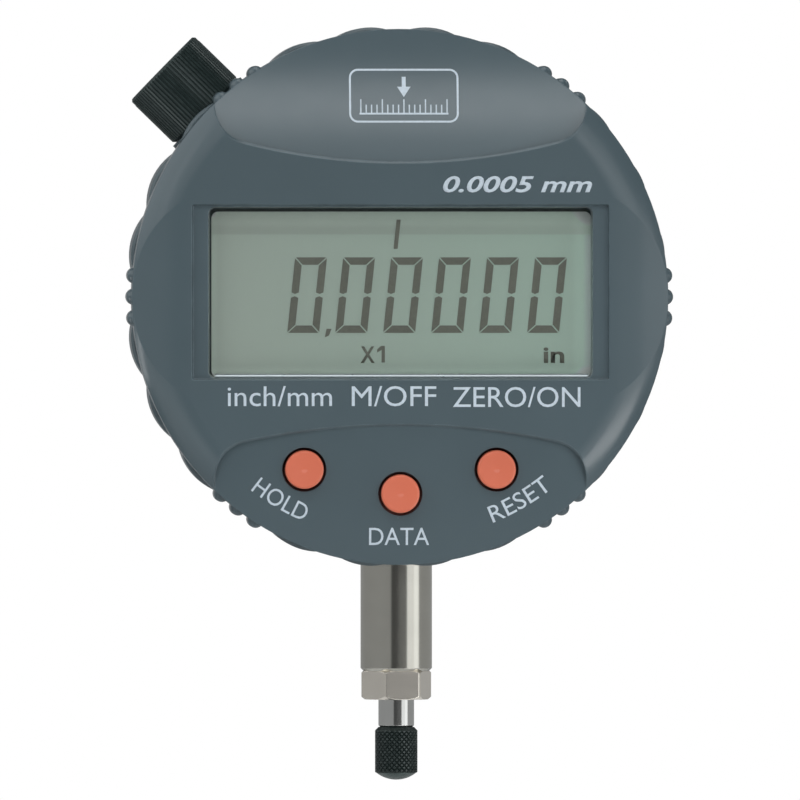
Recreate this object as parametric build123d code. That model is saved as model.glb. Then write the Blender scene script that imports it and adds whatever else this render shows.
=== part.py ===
from build123d import *
from math import cos, radians, sin, sqrt
import os

# Digital dial indicator with a turning display head on a round stem.
# Millimetres. The spindle axis is X = Y = 0, the display faces -Y and +Z points away from the contact.
# The pieces are drawn with Z = 0 at the dial centre; write() lifts them so that the origin of the part
# is on the stem axis, halfway along the length that a holder clamps.

# Heights along the spindle, from the dial centre
STEM_TOP = -21.0
STEM_SHOULDER = -29.9
STEM_END = -41.9
STEM_CHAMFER = 0.3
NUT_END = -45.1
SPINDLE_END = -48.2
CONTACT_END = -53.3
TIP_END = -54.1
SPINDLE_TOP = 22.6
DIAL_HEIGHT = -(STEM_SHOULDER + STEM_END + STEM_CHAMFER) / 2

# Round sizes on the spindle axis
STEM_RADIUS = 4.0
STEM_PRESS_RADIUS = 4.3
BUSH_RADIUS = 3.0
SPINDLE_RADIUS = 2.0
SPINDLE_GAP = 0.02
CONTACT_RADIUS = 2.4
STUD_RADIUS = 1.25
TIP_SHANK_RADIUS = 1.2
NUT_ACROSS_FLATS = 7.0
NUT_CORNER_RADIUS = 3.95
NUT_TURN = -50.0
COLLAR_RADIUS = 4.0
COLLAR_BOTTOM = -19.4
COLLAR_TOP = -17.4
COLLAR_PIN_HEIGHT = -18.4
COLLAR_PIN_RADIUS = 0.75
BUSH_BOTTOM = -38.0
BUSH_TOP = -30.0
SEAL_SEAT_RADIUS = 2.8
SEAL_HEIGHT = -43.7
SEAL_THICKNESS = 1.2
STUD_TOP = -43.4
TIP_SHANK_TOP = -51.1

# Depths, front to back
FACE = -18.0
POCKET_FLOOR = -17.5
WINDOW_FRONT = -16.0
LCD_FRONT = -14.9
LCD_BACK = -13.0
BOARD_FRONT = -11.2
BOARD_BACK = -10.2
BASE_FRONT = -9.2
BASE_BACK = -7.8
HOUSING_FRONT = -7.5
RING_SEAT = -6.0
HUB_END = -4.95
CAVITY_FRONT = -5.0
HOUSING_BACK = 7.5
COVER_BACK = 9.0
SWITCH_FRONT = -12.6
PLUNGER_FRONT = -13.18
STOP_SLOT_FLOOR = -6.3
RING_CHANNEL_FLOOR = -6.55
SENSOR_FRONT = 5.2
SENSOR_BACK = 6.2
FIT_GAP = 0.05

# Display head
HEAD_RADIUS = 29.85
HEAD_WALL = 1.8
FRONT_WALL = 2.0
RIM_WIDTH = 3.85
ARCH_WIDTH = 6.4
FACE_DROP = 1.8
RIB_GROUPS = (0, 52.5, 127.5, 180, 232.5, 307.5)
RIB_STEP = 4.6
RIB_RADIUS = 0.92
RIB_CENTRE = 29.55
RIB_FRONT = -14.1
SCOOP_WIDTH = 41.4
SCOOP_CORNER = 4.2
SCOOP_STEP = 0.3
SCOOP_WALL = 1.5
LIP = 0.2
TOP_SCOOP_EDGE = 15.05
TOP_SCOOP_RADIUS = 70.0
TOP_SCOOP_SLOPE = 8.0
TOP_SCOOP_BEND = 45.0
BOTTOM_SCOOP_EDGE = 14.3
BOTTOM_SCOOP_RADIUS = 84.0
BOTTOM_SCOOP_SLOPE = 10.0
BOTTOM_SCOOP_BEND = 200.0
WINDOW_LIFT = 0.5
WINDOW_OPENING = (42.8, 19.1)
WINDOW_CORNER = 0.8
WINDOW_DRAFT = 7.0
POCKET_LIFT = 0.55
POCKET_SIZE = (46.4, 19.5)
POCKET_DRAFT = 15.0
WINDOW_SIZE = (44.4, 20.8)
LCD_SIZE = (43.8, 20.2)
LCD_FRAME_SIZE = (47.0, 24.4)
LCD_LEDGE = 0.4
STRIP_HEIGHT = 8.6
STRIP_HALF_LENGTH = 20.0
BOARD_RADIUS = 25.4
HUB_RADIUS = 15.0
HUB_BORE = 13.4
HUB_GAP = 0.05
RING_GROOVE_RADIUS = 14.3
RING_RADIUS = 17.2
HEAD_SCREW_CIRCLE = 25.5
HEAD_SCREW_TIP = -13.0
SCREW_BOSS_RADIUS = 2.1
HEAD_SCREW_PLACES = [(HEAD_SCREW_CIRCLE * cos(radians(angle)), HEAD_SCREW_CIRCLE * sin(radians(angle)))
                     for angle in (60, 120, 215, 325)]
BUTTON_PLACES = {"hold": (-10.7, -19.2), "data": (0.0, -21.9), "reset": (10.7, -19.2)}
BUTTON_FRONTS = {"hold": -17.4, "data": -16.95, "reset": -17.4}
BUTTON_RADIUS = 2.15
BUTTON_HOLE = 2.45
BUTTON_EDGE = 0.25
BUTTON_FLANGE_RADIUS = 2.9
BUTTON_FLANGE_FRONT = -14.6
BUTTON_FLANGE_BACK = -14.0
BUTTON_FOOT_RADIUS = 0.9
BUTTON_FOOT = -13.9
BUTTON_SEAL_RADIUS = 2.95
BUTTON_SEAT = -15.25
BUTTON_SEAL_THICKNESS = 0.6
HEAD_TURN = 135.0
STOP_CIRCLE = 19.0
STOP_PIN_RADIUS = 0.9
FRICTION_RING_CIRCLE = 22.0
FRICTION_RING_SECTION = 0.58

# Rear housing
HOUSING_RADIUS = 29.15
HOUSING_BORE = 27.4
SCALLOP_CREST = 30.25
SCALLOP_RADIUS = 7.0
SCALLOP_QUARTER = (11.25, 26.25, 41.25, 67.5, 82.5)
SCALLOP_VALLEY = 1.5
HOUSING_FRONT_EDGE = 0.3
HOUSING_BACK_EDGE = 0.8
COVER_RADIUS = 28.9
COVER_SCREW_PLACES = [(20.9, 10.7), (-20.9, 10.7), (-20.9, -10.7), (20.9, -10.7)]
POST_PLACES = [(17.2, 8.2), (17.2, -8.2), (-17.2, -8.2)]
GUIDE_BOTTOM = 18.0
GUIDE_TOP = 23.0
GUIDE_FACE = 4.6
GUIDE_SCREW_PLACES = [(-6.8, -23.5), (6.8, -23.5)]
GASKET_RADII = (28.5, 27.9)
GASKET_FRONT = 7.0
SCREW_SHANK = 0.8
SCREW_HOLE = 0.9
SMALL_SCREW_SHANK = 0.6
SCREW_HEAD_THICKNESS = 0.7

# Battery chamber, along a line from the dial centre to the upper left
BATTERY_ANGLE = 135.75
BATTERY_DEPTH = 0.8
CHAMBER_RADIUS = 5.3
CHAMBER_START = 15.8
CELL_START = 17.35
CELL_RADIUS = 3.95
CELL_THICKNESS = 3.6
CELL_BORE = 4.05
THREAD_START = 25.0
THREAD_RADIUS = 4.25
THREAD_GAP = 0.05
CAP_SEAT = 29.6
SEAT_RADIUS = 5.4
CAP_END = 36.55
CAP_RADIUS = 5.1
CAP_TEETH = 72
CAP_ROOT = 4.98

# Data socket on the right-hand side
PORT_HEIGHT = 9.6
PORT_DEPTH = 4.4
PORT_FLOOR = 27.6
PORT_INNER_END = 22.5
PORT_OUTER_END = 28.6
PORT_WALL = 0.7
CONTACT_PITCH = 1.1
CONTACT_COUNT = 7
CONTACT_START = 23.5


def slab(outline, front, back):
    """Solid of an outline drawn in (x, z), between two depths."""
    return Plane((0, back, 0), (1, 0, 0), (0, -1, 0)) * extrude(outline, back - front)


def block(x0, x1, y0, y1, z0, z1):
    return Pos((x0 + x1) / 2, (y0 + y1) / 2, (z0 + z1) / 2) * Box(x1 - x0, y1 - y0, z1 - z0)


def disc(radius, front, back, x=0.0, z=0.0):
    """Round solid with its axis along Y."""
    return Pos(x, (front + back) / 2, z) * Rot(90, 0, 0) * Cylinder(radius, back - front)


def tube(outer, inner, front, back, x=0.0, z=0.0):
    return disc(outer, front, back, x, z) - disc(inner, front, back, x, z)


def turned_y(*points):
    """Turned solid about Y from (radius, y) corners."""
    return revolve(make_face(Polyline(*points, close=True)), Axis.Y)


def turned_z(*points):
    """Turned solid about Z from (radius, z) corners."""
    return revolve(Plane.XZ * make_face(Polyline(*points, close=True)), Axis.Z)


def on_battery_axis(shape):
    """Lay a shape drawn along Z from the dial centre onto the axis of the battery chamber."""
    return Pos(0, BATTERY_DEPTH, 0) * Rot(0, 90 - BATTERY_ANGLE, 0) * shape


def coil(radius, wire, bottom, top, turns):
    """Round-wire spring about Z with its wire inside the two heights."""
    rise = top - bottom - wire
    path = Pos(0, 0, bottom + wire / 2) * Helix(rise / turns, rise, radius)
    return sweep(Plane(path @ 0, z_dir=path % 0) * Circle(wire / 2), path)


# ---- display head ----

def head_form(radius, front, back):
    """Disc with a rolled rim, arched away at its left and right sides."""
    rolled = Polyline((radius, front + FACE_DROP), (radius, back), (0, back), (0, front),
                      (radius - RIM_WIDTH, front))
    rolled += TangentArc((radius - RIM_WIDTH, front), (radius, front + FACE_DROP), tangent=(1, 0))
    flat = radius - ARCH_WIDTH
    arched = Polyline((radius, front + FACE_DROP), (radius, back), (-radius, back), (-radius, front + FACE_DROP))
    arched += TangentArc((-flat, front), (-radius, front + FACE_DROP), tangent=(-1, 0))
    arched += Line((-flat, front), (flat, front))
    arched += TangentArc((flat, front), (radius, front + FACE_DROP), tangent=(1, 0))
    return revolve(make_face(rolled), Axis.Y) & extrude(make_face(arched), radius, both=True)


def scoop(edge, radius, slope, bend):
    """Lens-shaped recess above the given height, whose floor slopes back ever more towards the rim."""
    half = SCOOP_WIDTH / 2
    rise = radius - sqrt(radius**2 - half**2)
    top = HEAD_RADIUS + 2
    lens = ThreePointArc((-half, edge + rise), (0, edge), (half, edge + rise))
    lens += Polyline((half, edge + rise), (half, top), (-half, top), (-half, edge + rise))
    lens = make_face(lens)
    lens = fillet(lens.vertices().sort_by(Axis.Y)[:2], SCOOP_CORNER)
    centre_y = FACE + SCOOP_STEP + bend * cos(radians(slope))
    centre_z = edge - bend * sin(radians(slope))
    floor = Pos(0, centre_y, centre_z) * Rot(0, 90, 0) * Cylinder(bend, 2 * SCOOP_WIDTH)
    lip = Plane((0, FACE, 0), (1, 0, 0), (0, -1, 0)) * extrude(offset(lens, LIP), -LIP, taper=45)
    return slab(lens, FACE - 1, FACE + 8) - floor + lip


def scoops():
    top = scoop(TOP_SCOOP_EDGE, TOP_SCOOP_RADIUS, TOP_SCOOP_SLOPE, TOP_SCOOP_BEND)
    bottom = scoop(BOTTOM_SCOOP_EDGE, BOTTOM_SCOOP_RADIUS, BOTTOM_SCOOP_SLOPE, BOTTOM_SCOOP_BEND)
    return [top, mirror(bottom, Plane.XY)]


def tapered_hole(size, corner, lift, front, back, draft):
    """Rectangular cut whose walls lean inwards towards the back."""
    outline = fillet(Rectangle(*size).vertices(), corner)
    hole = Plane((0, front, lift), (1, 0, 0), (0, -1, 0)) * extrude(outline, front - back, taper=draft)
    return hole + Pos(0, 0, lift) * slab(outline, front - 1, front)


def front_bezel():
    body = head_form(HEAD_RADIUS, FACE, BASE_BACK)
    for group in RIB_GROUPS:
        for step in (-RIB_STEP, 0, RIB_STEP):
            angle = radians(group + step)
            x, z = RIB_CENTRE * cos(angle), RIB_CENTRE * sin(angle)
            body += disc(RIB_RADIUS, RIB_FRONT, BASE_BACK, x, z)
            body += Pos(x, RIB_FRONT, z) * Sphere(RIB_RADIUS)
    for recess in scoops():
        body -= recess
    body -= tapered_hole(POCKET_SIZE, LIP, POCKET_LIFT, FACE, POCKET_FLOOR, POCKET_DRAFT)
    cavity = head_form(HEAD_RADIUS - HEAD_WALL, FACE + FRONT_WALL, BASE_BACK + 1)
    for x, z in HEAD_SCREW_PLACES:
        cavity -= disc(SCREW_BOSS_RADIUS, FACE, BASE_FRONT, x, z)
    for recess in scoops():
        cavity -= Pos(0, SCOOP_WALL, 0) * recess
    body -= cavity
    body -= tapered_hole(WINDOW_OPENING, WINDOW_CORNER, WINDOW_LIFT, POCKET_FLOOR, WINDOW_FRONT, WINDOW_DRAFT)
    seat = fillet(Rectangle(WINDOW_SIZE[0] + 2 * FIT_GAP, WINDOW_SIZE[1] + 2 * FIT_GAP).vertices(), 1.0)
    body -= Pos(0, 0, WINDOW_LIFT) * slab(seat, WINDOW_FRONT, BOARD_FRONT)
    for x, z in BUTTON_PLACES.values():
        body -= disc(BUTTON_HOLE, FACE - 1, SWITCH_FRONT, x, z)
        body -= disc(BUTTON_SEAL_RADIUS, BUTTON_SEAT, SWITCH_FRONT, x, z)
    for x, z in HEAD_SCREW_PLACES:
        body -= disc(SCREW_SHANK, HEAD_SCREW_TIP - 0.2, BASE_FRONT, x, z)
    return body


def button_seals():
    back = BUTTON_SEAT + BUTTON_SEAL_THICKNESS
    return Compound([tube(BUTTON_SEAL_RADIUS, BUTTON_RADIUS + FIT_GAP, BUTTON_SEAT, back, x, z)
                     for x, z in BUTTON_PLACES.values()])


def button(x, z, front):
    """Push button with a dished crown, a retaining flange and a foot that presses its switch."""
    shoulder = front + BUTTON_EDGE
    rim = BUTTON_RADIUS - BUTTON_EDGE
    profile = Polyline((rim, front), (0, front + 0.08), (0, BUTTON_FOOT),
                       (BUTTON_FOOT_RADIUS, BUTTON_FOOT), (BUTTON_FOOT_RADIUS, BUTTON_FLANGE_BACK),
                       (BUTTON_FLANGE_RADIUS, BUTTON_FLANGE_BACK), (BUTTON_FLANGE_RADIUS, BUTTON_FLANGE_FRONT),
                       (BUTTON_RADIUS, BUTTON_FLANGE_FRONT), (BUTTON_RADIUS, shoulder))
    profile += TangentArc((BUTTON_RADIUS, shoulder), (rim, front), tangent=(0, -1))
    return Pos(x, 0, z) * revolve(make_face(profile), Axis.Y)


def window():
    pane = fillet(Rectangle(*WINDOW_SIZE).vertices(), 0.95)
    return Pos(0, 0, WINDOW_LIFT) * slab(pane, WINDOW_FRONT, WINDOW_FRONT + 1.0)


def lcd_glass():
    """Two glass plates, the rear one with ledges for the contact strips."""
    width, height = LCD_SIZE
    front_plate = slab(Rectangle(width, height - 2 * LCD_LEDGE), LCD_FRONT, LCD_FRONT + 1.0)
    rear_plate = slab(Rectangle(width, height), LCD_FRONT + 0.6, LCD_BACK)
    return Pos(0, 0, WINDOW_LIFT) * (front_plate + rear_plate)


def lcd_frame():
    width, height = LCD_FRAME_SIZE
    frame = slab(fillet(Rectangle(width, height).vertices(), 2.0), LCD_FRONT + 0.6, BOARD_FRONT)
    frame -= slab(Rectangle(LCD_SIZE[0] + 2 * FIT_GAP, LCD_SIZE[1] + 2 * FIT_GAP), LCD_FRONT, LCD_BACK)
    frame -= slab(Rectangle(38, 12), LCD_BACK, BOARD_FRONT)
    for side in (-1, 1):
        slot = Rectangle(2 * STRIP_HALF_LENGTH + 0.2, 2.2)
        frame -= slab(Pos(0, side * STRIP_HEIGHT) * slot, LCD_BACK, BOARD_FRONT)
    return Pos(0, 0, WINDOW_LIFT) * frame


def zebra_strips():
    return Compound([block(-STRIP_HALF_LENGTH, STRIP_HALF_LENGTH, LCD_BACK, BOARD_FRONT, z - 1, z + 1)
                     for z in (WINDOW_LIFT - STRIP_HEIGHT, WINDOW_LIFT + STRIP_HEIGHT)])


def main_board():
    outline = Circle(BOARD_RADIUS)
    for x, z in HEAD_SCREW_PLACES:
        outline -= Pos(x, z) * Circle(2.4)
    return slab(outline, BOARD_FRONT, BOARD_BACK)


def board_components():
    """Controller, crystal, ribbon socket and small parts on the back of the main board."""
    parts = [block(-5, 4, BOARD_BACK, BOARD_BACK + 0.9, -4, 5),
             block(7.5, 10.5, BOARD_BACK, BOARD_BACK + 1.5, -4, 4),
             block(-10, -6.5, BOARD_BACK, BOARD_BACK + 1.3, -6, 4)]
    for row in range(5):
        parts.append(block(-4 + 2 * row, -3 + 2 * row, BOARD_BACK, BOARD_BACK + 0.6, -8, -6.4))
        parts.append(block(-4 + 2 * row, -3 + 2 * row, BOARD_BACK, BOARD_BACK + 0.6, 7, 8.6))
    return Compound(parts)


def tactile_switches():
    switches = []
    for x, z in BUTTON_PLACES.values():
        body = disc(2.0, SWITCH_FRONT, BOARD_FRONT, x, z)
        switches.append(body + disc(1.0, PLUNGER_FRONT, SWITCH_FRONT, x, z))
    return Compound(switches)


def head_base():
    """Plate that closes the head, with the hub that turns in the rear housing."""
    base = disc(HEAD_RADIUS - HEAD_WALL, BASE_FRONT, BASE_BACK)
    base += disc(HUB_RADIUS, BASE_BACK, HUB_END)
    for angle in range(0, 360, 45):
        x, z = 18.5 * cos(radians(angle)), 18.5 * sin(radians(angle))
        base += disc(1.4, BOARD_BACK, BASE_FRONT, x, z)
    base -= disc(HUB_BORE, BASE_FRONT - 1, HUB_END + 1)
    base -= tube(HUB_RADIUS + 1, RING_GROOVE_RADIUS, -5.92, -5.08)
    for x, z in HEAD_SCREW_PLACES:
        base -= disc(SCREW_HOLE, BASE_FRONT, BASE_BACK, x, z)
        base -= disc(1.9, BASE_BACK - 0.75, BASE_BACK, x, z)
    base -= disc(STOP_PIN_RADIUS, BASE_FRONT + 0.3, BASE_BACK, 0, -STOP_CIRCLE)
    return base


def cross_screw(x, z, head_back, head, shank, tip):
    """Cross-recessed screw driven from behind, its shank running forward to the tip."""
    seat = head_back - SCREW_HEAD_THICKNESS
    screw = disc(head, seat, head_back, x, z)
    screw += disc(shank, tip, seat, x, z)
    for width, height in ((1.6, 0.36), (0.36, 1.6)):
        screw -= slab(Pos(x, z) * Rectangle(width, height), head_back - 0.4, head_back)
    return screw


def head_screws():
    return Compound([cross_screw(x, z, BASE_BACK - 0.05, 1.8, SCREW_SHANK, HEAD_SCREW_TIP)
                     for x, z in HEAD_SCREW_PLACES])


def head_retaining_ring():
    ring = tube(RING_RADIUS, RING_GROOVE_RADIUS, -5.9, -5.1)
    return ring - block(-3.5, 3.5, -7, -4, 10, 20)


def head_stop_pin():
    return disc(STOP_PIN_RADIUS, BASE_FRONT + 0.3, -6.4, 0, -STOP_CIRCLE)


# ---- rear housing ----

def scalloped_outline():
    outline = Circle(HOUSING_RADIUS)
    for quarter in SCALLOP_QUARTER:
        for angle in (quarter, 180 - quarter, 180 + quarter, -quarter):
            outline += Rot(0, 0, angle) * Pos(SCALLOP_CREST - SCALLOP_RADIUS, 0) * Circle(SCALLOP_RADIUS)
    return fillet(outline.vertices(), SCALLOP_VALLEY)


def battery_chamber():
    chamber = Pos(0, 0, (CHAMBER_START + 28.5) / 2) * Cylinder(CHAMBER_RADIUS, 28.5 - CHAMBER_START)
    chamber += Pos(0, 0, (27 + CAP_SEAT) / 2) * Cylinder(SEAT_RADIUS, CAP_SEAT - 27)
    return on_battery_axis(chamber)


def battery_bore():
    thread = THREAD_RADIUS + THREAD_GAP
    bore = turned_z((0, CELL_START - 0.35), (CELL_BORE, CELL_START - 0.35), (CELL_BORE, THREAD_START),
                    (thread, THREAD_START), (thread, CAP_SEAT), (SEAT_RADIUS, CAP_SEAT),
                    (SEAT_RADIUS, CAP_SEAT + 3), (0, CAP_SEAT + 3))
    return on_battery_axis(bore)


def rear_housing():
    shell = slab(scalloped_outline(), HOUSING_FRONT, HOUSING_BACK)
    shell = chamfer(shell.edges().group_by(Axis.Y)[0], HOUSING_FRONT_EDGE)
    shell = chamfer(shell.edges().group_by(Axis.Y)[-1], HOUSING_BACK_EDGE)
    shell -= disc(HOUSING_BORE, CAVITY_FRONT, HOUSING_BACK)
    inner = disc(HOUSING_BORE + 0.6, CAVITY_FRONT, HOUSING_BACK)
    shell += block(-9, 9, CAVITY_FRONT, GUIDE_FACE, -28.5, STEM_TOP) & inner
    shell += block(-5, 5, CAVITY_FRONT, GUIDE_FACE, GUIDE_BOTTOM, GUIDE_TOP)
    shell += block(PORT_INNER_END, 28.5, CAVITY_FRONT, 4.2, -PORT_HEIGHT / 2 - 1.2, PORT_HEIGHT / 2 + 1.2) & inner
    for x, z in COVER_SCREW_PLACES:
        shell += disc(2.4, CAVITY_FRONT, HOUSING_BACK, x, z)
    for x, z in POST_PLACES:
        shell += disc(1.6, CAVITY_FRONT, SENSOR_FRONT, x, z)
    shell += battery_chamber()
    shell -= battery_bore()
    shell -= disc(HUB_RADIUS + HUB_GAP, HOUSING_FRONT, CAVITY_FRONT)
    shell -= disc(RING_RADIUS + 0.2, RING_SEAT, CAVITY_FRONT)
    shell -= tube(FRICTION_RING_CIRCLE + 0.75, FRICTION_RING_CIRCLE - 0.75, HOUSING_FRONT, RING_CHANNEL_FLOOR)
    stop_slot = SlotArc(CenterArc((0, 0), STOP_CIRCLE, -90 - HEAD_TURN - 0.3, 2 * HEAD_TURN + 0.6), 2.0)
    shell -= slab(stop_slot, HOUSING_FRONT, STOP_SLOT_FLOOR)
    shell -= tube(*GASKET_RADII, GASKET_FRONT, HOUSING_BACK)
    shell -= Pos(0, 0, -25) * Cylinder(STEM_PRESS_RADIUS, 20)
    shell -= Pos(0, 0, 20) * Cylinder(BUSH_RADIUS, 10)
    shell -= block(22, 32, -PORT_DEPTH / 2, PORT_DEPTH / 2, -PORT_HEIGHT / 2, PORT_HEIGHT / 2)
    for x, z in COVER_SCREW_PLACES:
        shell -= disc(SCREW_SHANK, 2.0, HOUSING_BACK, x, z)
    for x, z in POST_PLACES:
        shell -= disc(SMALL_SCREW_SHANK, 2.0, SENSOR_FRONT, x, z)
    for x, z in GUIDE_SCREW_PLACES:
        shell -= disc(SMALL_SCREW_SHANK, 1.5, GUIDE_FACE, x, z)
    return shell


def back_cover():
    cover = turned_y((0, HOUSING_BACK), (COVER_RADIUS, HOUSING_BACK), (COVER_RADIUS, COVER_BACK - 0.5),
                     (COVER_RADIUS - 0.5, COVER_BACK), (0, COVER_BACK))
    cover -= tube(25.6, 25.0, COVER_BACK - 0.35, COVER_BACK)
    for x, z in COVER_SCREW_PLACES:
        cover -= disc(SCREW_HOLE, HOUSING_BACK, COVER_BACK, x, z)
        cover -= disc(2.0, COVER_BACK - 0.85, COVER_BACK, x, z)
    return cover


def back_cover_gasket():
    return tube(*GASKET_RADII, GASKET_FRONT, HOUSING_BACK)


def back_cover_screws():
    return Compound([cross_screw(x, z, COVER_BACK - 0.15, 1.85, SCREW_SHANK, 3.0) for x, z in COVER_SCREW_PLACES])


def friction_ring():
    return Pos(0, -7.18, 0) * Rot(90, 0, 0) * Torus(FRICTION_RING_CIRCLE, FRICTION_RING_SECTION)


# ---- stem and guides ----

def stem():
    return turned_z((2.3, STEM_TOP), (STEM_PRESS_RADIUS, STEM_TOP), (STEM_PRESS_RADIUS, STEM_SHOULDER),
                    (STEM_RADIUS, STEM_SHOULDER), (STEM_RADIUS, STEM_END + STEM_CHAMFER),
                    (STEM_RADIUS - STEM_CHAMFER, STEM_END), (BUSH_RADIUS, STEM_END),
                    (BUSH_RADIUS, BUSH_TOP), (2.3, BUSH_TOP))


def stem_nut():
    height = STEM_END - NUT_END
    hexagon = Rot(0, 0, NUT_TURN) * RegularPolygon(NUT_ACROSS_FLATS / 2, 6, major_radius=False)
    nut = Pos(0, 0, NUT_END) * extrude(hexagon, height)
    nut &= turned_z((0, NUT_END), (3.55, NUT_END), (NUT_CORNER_RADIUS, NUT_END + 0.3),
                    (NUT_CORNER_RADIUS, STEM_END - 0.2), (3.7, STEM_END), (0, STEM_END))
    nut += Pos(0, 0, STEM_END + 1.95) * Cylinder(BUSH_RADIUS, 3.9)
    nut -= Pos(0, 0, -40) * Cylinder(SPINDLE_RADIUS + 0.05, 20)
    nut -= Pos(0, 0, SEAL_HEIGHT) * Cylinder(SEAL_SEAT_RADIUS, SEAL_THICKNESS)
    return nut


def spindle_seal():
    ring = Cylinder(SEAL_SEAT_RADIUS, SEAL_THICKNESS) - Cylinder(SPINDLE_RADIUS + 0.03, SEAL_THICKNESS)
    return Pos(0, 0, SEAL_HEIGHT) * ring


def guide_bush(bottom, top):
    bore = SPINDLE_RADIUS + SPINDLE_GAP
    return turned_z((bore, bottom), (BUSH_RADIUS, bottom), (BUSH_RADIUS, top), (bore, top))


def guide_plate():
    """Plate whose slot keeps the spindle from turning."""
    plate = block(-8.5, 8.5, GUIDE_FACE, GUIDE_FACE + 1.0, -25.8, -20.5)
    plate += block(-3.5, 3.5, GUIDE_FACE, GUIDE_FACE + 1.0, -20.5, -11.5)
    plate -= block(-0.85, 0.85, GUIDE_FACE, GUIDE_FACE + 1.0, -20.0, -13.5)
    for x, z in GUIDE_SCREW_PLACES:
        plate -= disc(SCREW_HOLE, GUIDE_FACE, GUIDE_FACE + 1.0, x, z)
    return plate


def guide_plate_screws():
    return Compound([cross_screw(x, z, GUIDE_FACE + 1.0 + SCREW_HEAD_THICKNESS, 1.3, SMALL_SCREW_SHANK, 2.0)
                     for x, z in GUIDE_SCREW_PLACES])


def stop_bumper():
    top = COLLAR_BOTTOM - 0.02
    return turned_z((2.3, STEM_TOP), (3.6, STEM_TOP), (3.8, STEM_TOP + 0.5), (3.5, top), (2.3, top))


# ---- spindle ----

def spindle():
    return turned_z((0, SPINDLE_TOP), (SPINDLE_RADIUS - 0.4, SPINDLE_TOP), (SPINDLE_RADIUS, SPINDLE_TOP - 0.4),
                    (SPINDLE_RADIUS, SPINDLE_END + 0.2), (SPINDLE_RADIUS - 0.2, SPINDLE_END),
                    (STUD_RADIUS, SPINDLE_END), (STUD_RADIUS, STUD_TOP + 0.2), (0, STUD_TOP + 0.2))


def contact_point():
    """Knurled contact body with the stud that screws into the spindle."""
    return turned_z((0, STUD_TOP), (STUD_RADIUS, STUD_TOP), (STUD_RADIUS, SPINDLE_END), (2.0, SPINDLE_END),
                    (CONTACT_RADIUS, SPINDLE_END - 0.4), (CONTACT_RADIUS, CONTACT_END + 0.25),
                    (CONTACT_RADIUS - 0.1, CONTACT_END), (TIP_SHANK_RADIUS, CONTACT_END),
                    (TIP_SHANK_RADIUS, TIP_SHANK_TOP + 0.1), (0, TIP_SHANK_TOP + 0.1))


def contact_tip():
    """Hard domed tip pressed into the contact body."""
    edge = CONTACT_RADIUS - 0.15
    drop = CONTACT_END - TIP_END
    dome = (edge**2 + drop**2) / (2 * drop)
    profile = Polyline((0, TIP_END), (0, TIP_SHANK_TOP), (TIP_SHANK_RADIUS, TIP_SHANK_TOP),
                       (TIP_SHANK_RADIUS, CONTACT_END), (edge, CONTACT_END))
    profile += RadiusArc((edge, CONTACT_END), (0, TIP_END), dome)
    return revolve(Plane.XZ * make_face(profile), Axis.Z)


def stop_collar():
    collar = turned_z((SPINDLE_RADIUS, COLLAR_BOTTOM), (COLLAR_RADIUS - 0.2, COLLAR_BOTTOM),
                      (COLLAR_RADIUS, COLLAR_BOTTOM + 0.2), (COLLAR_RADIUS, COLLAR_TOP),
                      (SPINDLE_RADIUS, COLLAR_TOP))
    return collar - disc(COLLAR_PIN_RADIUS, SPINDLE_RADIUS, COLLAR_RADIUS + 1, 0, COLLAR_PIN_HEIGHT)


def anti_rotation_pin():
    return disc(COLLAR_PIN_RADIUS, SPINDLE_RADIUS, 5.4, 0, COLLAR_PIN_HEIGHT)


def scale_carrier():
    carrier = block(-4, 4, -3.2, 3.6, -6, 6)
    carrier = chamfer(carrier.edges().filter_by(Axis.Z), 0.5)
    return carrier - Cylinder(SPINDLE_RADIUS, 14)


def glass_scale():
    return block(-3, 3, 3.6, 4.4, -8, 8)


def return_spring():
    return coil(2.85, 0.5, 6.02, GUIDE_BOTTOM - 0.02, 6)


# ---- electronics in the housing ----

def sensor_board():
    outline = make_face(Polyline((-18.6, -9.5), (18.6, -9.5), (18.6, 9.5), (-6, 9.5), (-18.6, 1), close=True))
    for x, z in POST_PLACES:
        outline -= Pos(x, z) * Circle(0.8)
    return slab(outline, SENSOR_FRONT, SENSOR_BACK)


def sensor_board_screws():
    return Compound([cross_screw(x, z, SENSOR_BACK + SCREW_HEAD_THICKNESS, 1.3, SMALL_SCREW_SHANK, 2.5)
                     for x, z in POST_PLACES])


def reading_head():
    return block(-3, 3, SENSOR_FRONT - 0.6, SENSOR_FRONT, -3, 3)


def sensor_components():
    """Ribbon socket and amplifier facing the spindle, and a row of small parts behind."""
    parts = [block(7.5, 10.5, SENSOR_FRONT - 0.9, SENSOR_FRONT, -4, 4),
             block(-13, -7, SENSOR_FRONT - 0.9, SENSOR_FRONT, -5, 1)]
    parts += [block(-12 + 2.2 * n, -10.8 + 2.2 * n, SENSOR_BACK, SENSOR_BACK + 0.7, -6, -4.4) for n in range(10)]
    return Compound(parts)


def flex_cable():
    """Ribbon from the head's board through the hub to the sensor board."""
    route = FilletPolyline((9, -8.7), (9, -5.4), (11, -2.6), (11, 0.4), (9, 3), (9, 4.3), radius=0.9)
    return Pos(0, 0, -3.5) * extrude(trace(route, 0.15), 7)


def data_port():
    """Plastic socket body behind the opening in the housing's right-hand wall."""
    half_depth, half_height = PORT_DEPTH / 2 - 0.03, PORT_HEIGHT / 2 - 0.03
    socket = block(PORT_INNER_END, PORT_OUTER_END, -half_depth, half_depth, -half_height, half_height)
    socket -= block(PORT_FLOOR, PORT_OUTER_END, PORT_WALL - half_depth, half_depth - PORT_WALL,
                    PORT_WALL - half_height, half_height - PORT_WALL)
    for blade in contact_blades(PORT_FLOOR):
        socket -= blade
    return socket


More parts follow.
